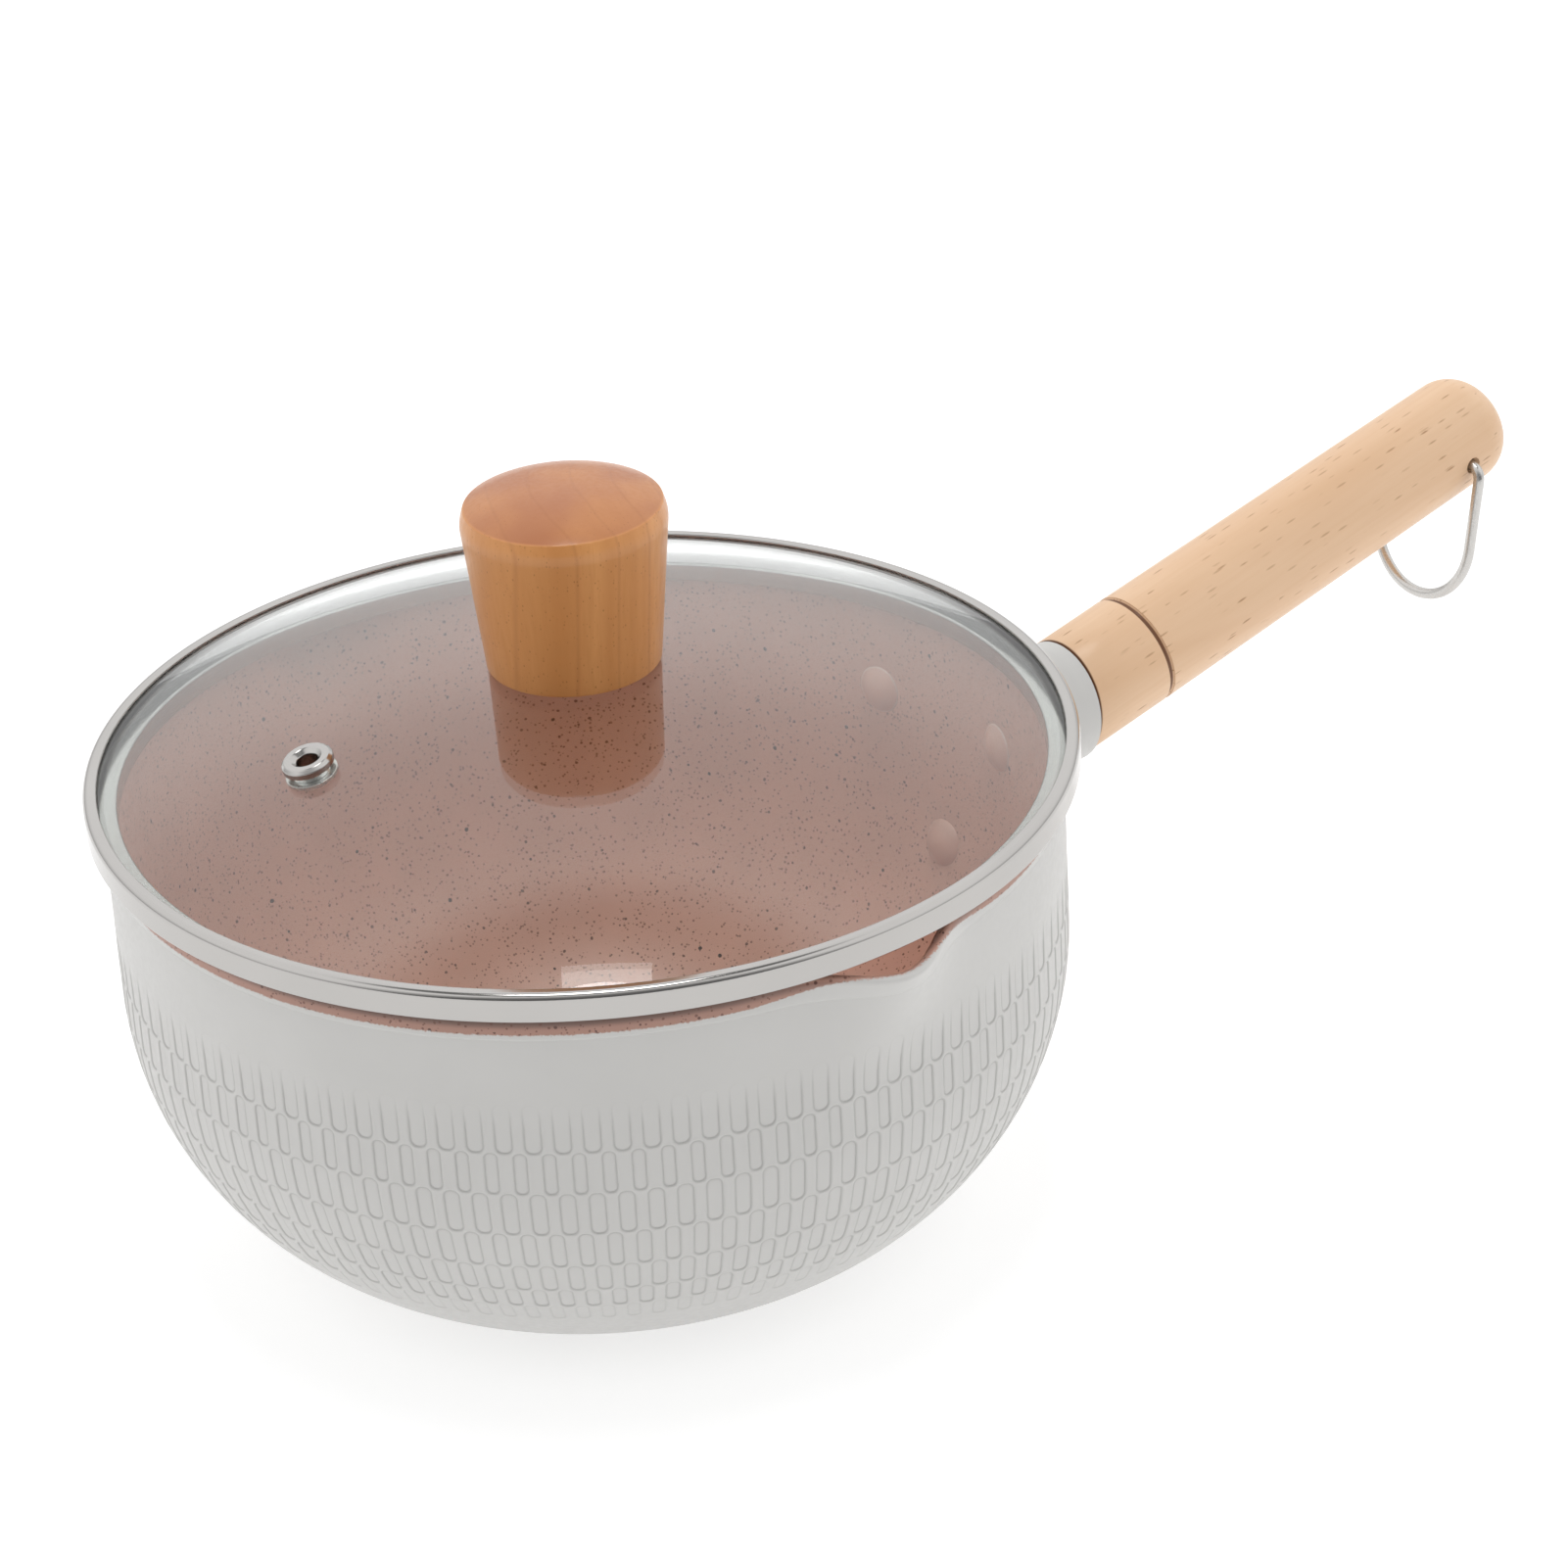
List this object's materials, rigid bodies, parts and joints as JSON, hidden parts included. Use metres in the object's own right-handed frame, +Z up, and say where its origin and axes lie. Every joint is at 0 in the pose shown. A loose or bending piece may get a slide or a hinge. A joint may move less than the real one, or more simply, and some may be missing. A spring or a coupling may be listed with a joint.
{
  "type": "saucepan with glass lid",
  "caption": "Dimpled cast saucepan with pouring spouts, a turned wooden handle with a hanging loop, and a domed, steel-rimmed glass lid with a vent and wooden knob.",
  "frame": {"origin": "centre of the underside of the base, on the plane the pan rests on", "axes": "+Z up along the pan's and lid's common axis, +X towards the end of the handle, the two spouts at +Y and -Y"},
  "size_m": [0.3626, 0.2142, 0.1625],
  "materials": {
    "body_paint": "satin",
    "nonstick": "satin",
    "base_steel": "satin",
    "handle_wood": "satin",
    "knob_wood": "gloss",
    "wire_steel": "satin",
    "hardware_steel": "satin",
    "rim_steel": "polished",
    "lid_glass": "gloss",
    "insert_brass": "satin",
    "gasket_silicone": "matte"
  },
  "bodies": {
    "pan": {"pan_shell": "body_paint", "nonstick_lining": "nonstick", "base_plate": "base_steel", "handle_bracket": "body_paint", "rivet_upper_left": "nonstick", "rivet_upper_right": "nonstick", "rivet_lower": "nonstick", "handle_stud": "hardware_steel", "handle_grip": "handle_wood"},
    "lid": {"lid_glass": "lid_glass", "lid_rim": "rim_steel", "vent_eyelet": "hardware_steel", "vent_washer": "hardware_steel", "lid_knob": "knob_wood", "knob_insert": "insert_brass", "knob_screw": "hardware_steel", "knob_washer": "hardware_steel", "knob_gasket": "gasket_silicone"},
    "loop": {"hanging_loop": "wire_steel"}
  },
  "joints": [
    {"name": "lid_lift", "type": "slide", "parent": "pan", "child": "lid", "axis": [0, 0, 1], "range_m": [0, 0.12]},
    {"name": "loop_swing", "type": "hinge", "parent": "pan", "child": "loop", "pos_m": [0.24445, 0, 0.0909], "axis": [0, 1, 0], "range_deg": [-260, 40]}
  ]
}
